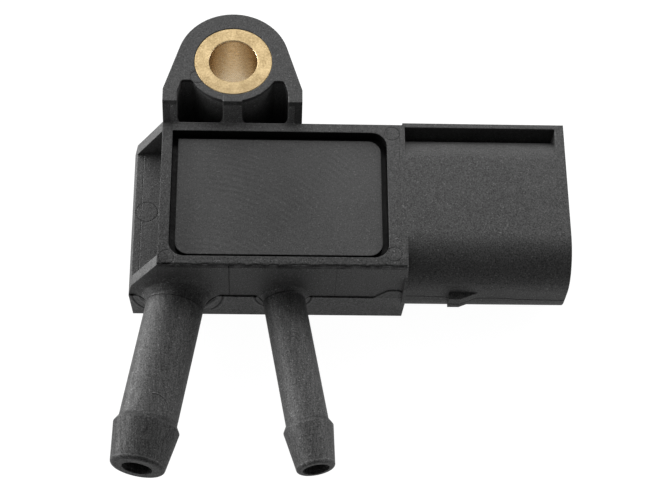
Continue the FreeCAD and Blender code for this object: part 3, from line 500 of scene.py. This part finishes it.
def clear_part(name, low, high, roughness, size):
    """Glass or gel, with a faint drift of colour."""
    t = Look(name)
    drift = t.noise(size * MM, detail=2.0)
    t.set(color=t.blend(drift, low, high), roughness=roughness, transmission=0.85, ior=1.42)
    t.surface(drift, 0.02 * MM, 0.5)
    return t.material


def dress(material, *names):
    """Gives one material to the named solids."""
    for name in names:
        node = nodes[name]
        node.data.materials.clear()
        node.data.materials.append(material)


dress(moulded_plastic("black_plastic_look", HOUSING_TONE, housing_marks, edge=0.2), "housing")
dress(moulded_plastic("cover_look", COVER_TONE, cover_marks, edge=0.15, grain=0.6),
      "cover_plate")
dress(sealant("sealant_look"), "cover_seal", "port_seal_large", "port_seal_small")
dress(turned_brass("bush_look"), "mounting_bush")
dress(tinned("terminal_look"), "terminal_supply", "terminal_signal", "terminal_ground",
      *(f"cell_lead_{count}" for count in range(1, 5)))
dress(board_mask("board_look"), "circuit_board")
dress(plain_part("cell_look", grey(0.03), grey(0.05), 0.45, 0.5), "sensor_cell")
dress(plain_part("lid_look", grey(0.5), grey(0.62), 0.25, 0.8, metallic=1.0), "cell_lid")
dress(clear_part("die_glass_look", (0.80, 0.88, 0.85, 1), (0.9, 0.95, 0.93, 1), 0.08, 0.5),
      "die_pedestal")
dress(plain_part("die_look", (0.10, 0.11, 0.14, 1), (0.16, 0.17, 0.21, 1), 0.12, 0.4,
                 metallic=0.6), "pressure_die")
dress(clear_part("gel_look", (0.9, 0.88, 0.82, 1), (0.95, 0.94, 0.9, 1), 0.05, 0.6),
      "protective_gel")
dress(plain_part("chip_look", grey(0.018), grey(0.03), 0.4, 0.3),
      "signal_chip", "resistor_1", "resistor_2")
dress(plain_part("ceramic_look", (0.30, 0.20, 0.12, 1), (0.42, 0.30, 0.19, 1), 0.35, 0.4),
      *(f"capacitor_{count}" for count in range(1, 5)))


# How much of the floor glows for the camera and in reflections; the rest takes the shadow.
SEEN_GLOW = 0.88
MIRRORED_GLOW = 0.6


def white_ground(name):
    """Floor that is white to the camera and in reflections, and keeps a soft shadow."""
    ground = Nodes(name)
    path = ground.add("ShaderNodeLightPath").outputs
    mirrored = ground.math("MAXIMUM", path["Is Glossy Ray"], path["Is Transmission Ray"])
    share = ground.weigh((path["Is Camera Ray"], SEEN_GLOW), (mirrored, MIRRORED_GLOW))
    paper = ground.add("ShaderNodeBsdfDiffuse")
    paper.inputs["Color"].default_value = grey(0.82)
    glow = ground.add("ShaderNodeEmission")
    glow.inputs["Strength"].default_value = 1.11
    mix = ground.add("ShaderNodeMixShader")
    for socket, value in zip(mix.inputs, (share, paper.outputs[0], glow.outputs[0])):
        ground.feed(socket, value)
    ground.end(mix.outputs[0])
    return ground.material


def make_floor():
    """A wide floor just under the back face."""
    half = 3.0
    mesh = bpy.data.meshes.new("floor")
    mesh.from_pydata([(-half, -half, 0), (half, -half, 0), (half, half, 0), (-half, half, 0)],
                     [], [(0, 1, 2, 3)])
    floor = bpy.data.objects.new("floor", mesh)
    floor.location.z = -0.02 * MM
    floor.data.materials.append(white_ground("floor_look"))
    bpy.context.scene.collection.objects.link(floor)


make_floor()

AIM = Vector((0.008, -0.02, 0.008))
LAMP_DISTANCE = 0.7
# Bearing from +Y towards +X and elevation in degrees, width and height, and irradiance.
LAMPS = {
    "left_low": (-68, 12, 0.55, 0.22, 5.2),
    "left_high": (-75, 38, 0.35, 0.25, 0.6),
    "back": (0, 38, 0.55, 0.60, 2.2),
    "right_high": (60, 36, 0.35, 0.25, 1.2),
    "right_low": (78, 12, 0.35, 0.20, 0.9),
}


def add_lamp(name, bearing, elevation, width, height, level):
    """A soft box round the object, turned towards it."""
    lamp = bpy.data.lights.new(name, "AREA")
    lamp.shape = "RECTANGLE"
    lamp.size = width
    lamp.size_y = height
    lamp.energy = level * math.pi * LAMP_DISTANCE ** 2
    item = bpy.data.objects.new(name, lamp)
    across = math.cos(math.radians(elevation))
    towards = Vector((across * math.sin(math.radians(bearing)),
                      across * math.cos(math.radians(bearing)),
                      math.sin(math.radians(elevation))))
    item.location = AIM + LAMP_DISTANCE * towards
    item.rotation_euler = (-towards).to_track_quat("-Z", "Y").to_euler()
    bpy.context.scene.collection.objects.link(item)


for name, settings in LAMPS.items():
    add_lamp(name, *settings)

world = bpy.data.worlds.new("studio")
bpy.context.scene.world = world
world.use_nodes = True
sky = world.node_tree.nodes["Background"].inputs
sky["Color"].default_value = grey(1.0)
sky["Strength"].default_value = 0.18

# The photograph's viewpoint: a long lens, above the hose side.
PICTURE_WIDTH = 666
FOCAL_PIXELS = 1749
SENSOR_WIDTH = 36.0
VIEWPOINT = Vector((4.43099, -129.19511, 216.85532)) * MM
ELEVATION = math.radians(63.03)
AZIMUTH = math.radians(-4.98)
ROLL = math.radians(5.09)


def add_camera():
    """Stands at the viewpoint, turned by azimuth, elevation and roll."""
    forward = Vector((-math.sin(AZIMUTH) * math.cos(ELEVATION),
                      math.cos(AZIMUTH) * math.cos(ELEVATION), -math.sin(ELEVATION)))
    level = Vector((math.cos(AZIMUTH), math.sin(AZIMUTH), 0))
    above = level.cross(forward)
    right = math.cos(ROLL) * level + math.sin(ROLL) * above
    up = math.cos(ROLL) * above - math.sin(ROLL) * level

    lens = bpy.data.cameras.new("view")
    lens.sensor_fit = "HORIZONTAL"
    lens.sensor_width = SENSOR_WIDTH
    lens.lens = FOCAL_PIXELS / PICTURE_WIDTH * SENSOR_WIDTH
    camera = bpy.data.objects.new("view", lens)
    turn = Matrix((right, up, -forward)).transposed().to_4x4()
    camera.matrix_world = Matrix.Translation(VIEWPOINT) @ turn
    bpy.context.scene.collection.objects.link(camera)
    bpy.context.scene.camera = camera


add_camera()
bpy.context.scene.view_settings.view_transform = "Standard"
